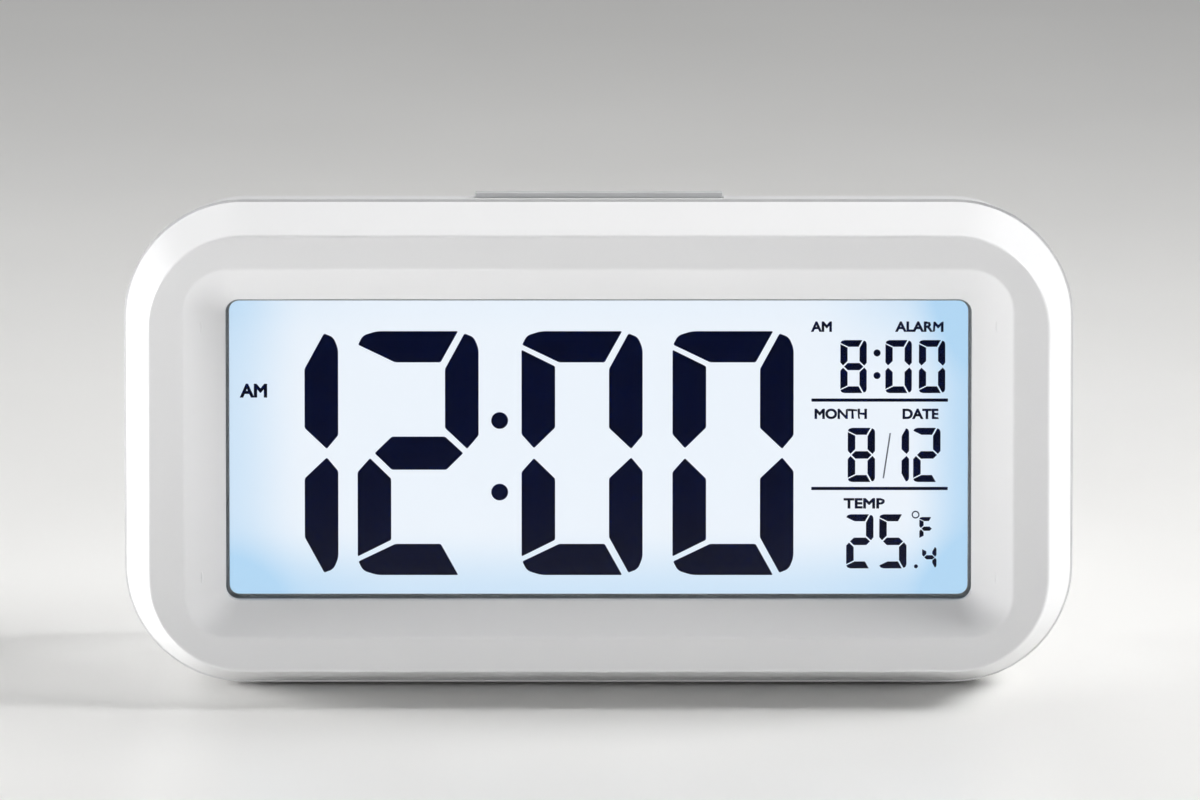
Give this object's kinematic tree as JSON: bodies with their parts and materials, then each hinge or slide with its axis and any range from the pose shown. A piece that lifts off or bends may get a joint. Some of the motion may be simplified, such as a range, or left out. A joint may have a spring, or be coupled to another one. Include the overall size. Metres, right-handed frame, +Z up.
{
  "type": "desk alarm clock",
  "caption": "Battery desk alarm clock: wide LCD recessed in a deep rounded white frame, snooze bar on top, buttons, light switch and battery cover at the back.",
  "frame": {"origin": "on the standing surface, under the middle of the case's bounding box", "axes": "+X to the right seen from the front, the display looks along -Y, +Z up"},
  "size_m": [0.135, 0.0456, 0.0695],
  "materials": {
    "white_shell": "satin",
    "clear_window": "gloss",
    "polarizer_film": "gloss",
    "lcd_glass": "gloss",
    "white_film": "matte",
    "clear_acrylic": "gloss",
    "led_body": "gloss",
    "white_inner": "satin",
    "zebra_rubber": "matte",
    "circuit_board": "satin",
    "black_epoxy": "satin",
    "tinned_steel": "satin",
    "ceramic_tan": "matte",
    "capacitor_sleeve": "satin",
    "zinc_screw": "satin",
    "switch_black": "matte",
    "silver_key": "satin",
    "dark_key": "matte",
    "brass_disc": "satin",
    "white_ceramic": "matte",
    "red_wire": "satin",
    "black_wire": "satin",
    "grey_ribbon": "satin",
    "foot_rubber": "matte",
    "battery_sleeve": "satin"
  },
  "bodies": {
    "case": {"front_shell": "white_shell", "rear_shell": "white_shell", "display_window": "clear_window", "front_polarizer": "polarizer_film", "lcd_front_glass": "lcd_glass", "lcd_rear_glass": "lcd_glass", "rear_polarizer": "polarizer_film", "diffuser_sheet": "white_film", "light_guide": "clear_acrylic", "reflector_sheet": "white_film", "backlight_leds": "led_body", "lcd_holder": "white_inner", "zebra_strips": "zebra_rubber", "main_board": "circuit_board", "chip_cover": "black_epoxy", "quartz_crystal": "tinned_steel", "chip_resistors": "black_epoxy", "chip_capacitors": "ceramic_tan", "power_capacitor": "capacitor_sleeve", "board_screws": "zinc_screw", "snooze_switch": "switch_black", "key_board": "circuit_board", "key_board_screws": "zinc_screw", "slide_switch": "tinned_steel", "battery_plates": "tinned_steel", "battery_springs": "tinned_steel", "buzzer_plate": "brass_disc", "buzzer_ceramic": "white_ceramic", "thermistor": "black_epoxy", "battery_wire_red": "red_wire", "battery_wire_black": "black_wire", "buzzer_wires": "red_wire", "key_ribbon": "grey_ribbon", "case_screws": "zinc_screw", "rubber_feet": "foot_rubber", "mode_switch": "switch_black", "set_switch": "switch_black", "up_switch": "switch_black", "down_switch": "switch_black", "battery_1": "battery_sleeve", "battery_2": "battery_sleeve", "battery_3": "battery_sleeve"},
    "snooze_bar": {"snooze_bar": "silver_key", "snooze_plunger": "switch_black"},
    "slide_knob": {"slide_knob": "dark_key"},
    "battery_cover": {"battery_cover": "white_shell"},
    "mode_button": {"mode_button": "silver_key", "mode_plunger": "switch_black"},
    "set_button": {"set_button": "silver_key", "set_plunger": "switch_black"},
    "up_button": {"up_button": "silver_key", "up_plunger": "switch_black"},
    "down_button": {"down_button": "silver_key", "down_plunger": "switch_black"}
  },
  "joints": [
    {"name": "snooze_press", "type": "slide", "parent": "case", "child": "snooze_bar", "axis": [0, -0.1305, -0.9914], "range_m": [0, 0.001], "stiffness_N_per_m": 900, "springref_m": -0.0002},
    {"name": "mode_press", "type": "slide", "parent": "case", "child": "mode_button", "axis": [0, -0.9914, 0.1305], "range_m": [0, 0.0006], "stiffness_N_per_m": 1500, "springref_m": -0.0001},
    {"name": "set_press", "type": "slide", "parent": "case", "child": "set_button", "axis": [0, -0.9914, 0.1305], "range_m": [0, 0.0006], "stiffness_N_per_m": 1500, "springref_m": -0.0001},
    {"name": "up_press", "type": "slide", "parent": "case", "child": "up_button", "axis": [0, -0.9914, 0.1305], "range_m": [0, 0.0006], "stiffness_N_per_m": 1500, "springref_m": -0.0001},
    {"name": "down_press", "type": "slide", "parent": "case", "child": "down_button", "axis": [0, -0.9914, 0.1305], "range_m": [0, 0.0006], "stiffness_N_per_m": 1500, "springref_m": -0.0001},
    {"name": "light_slide", "type": "slide", "parent": "case", "child": "slide_knob", "axis": [1, 0, 0], "range_m": [0, 0.002]},
    {"name": "cover_tip", "type": "hinge", "parent": "case", "child": "battery_cover", "pos_m": [0, 0.01485, 0.00676], "axis": [-1, 0, 0], "range_deg": [0, 60]}
  ]
}
